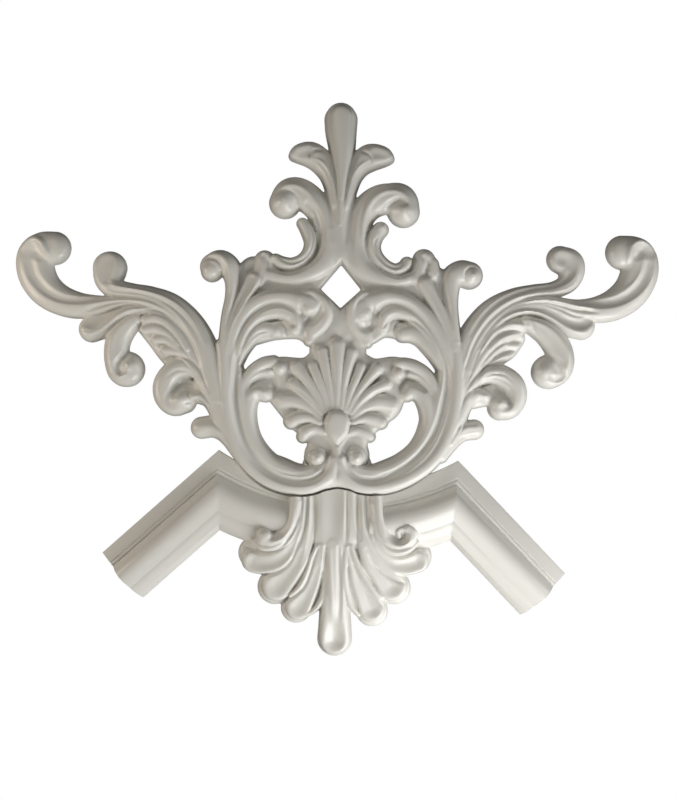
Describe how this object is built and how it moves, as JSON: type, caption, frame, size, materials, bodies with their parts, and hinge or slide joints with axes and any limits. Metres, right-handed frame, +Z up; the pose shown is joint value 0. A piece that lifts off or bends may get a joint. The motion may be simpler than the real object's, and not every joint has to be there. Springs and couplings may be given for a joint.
{
  "type": "decorative wall moulding",
  "caption": "Corner ornament of a wall-panel moulding: an openwork acanthus crest above a mitred corner of panel moulding with a shell palmette, flat-backed.",
  "frame": {"origin": "on the crest's flat back, on the wall plane, behind the cabochon at the foot of its small palmette", "axes": "+Y into the wall, so the carved front faces -Y; +X to the right as seen from the front; +Z up along the crest's axis"},
  "size_m": [0.6506, 0.0262, 0.5594],
  "materials": {
    "crest_foam": "rigid polyurethane casting with a satin-gloss off-white coat",
    "corner_foam": "rigid polyurethane casting with a satin-gloss off-white coat"
  },
  "bodies": {
    "root": {"crest": "crest_foam", "corner_moulding": "corner_foam"}
  },
  "joints": []
}
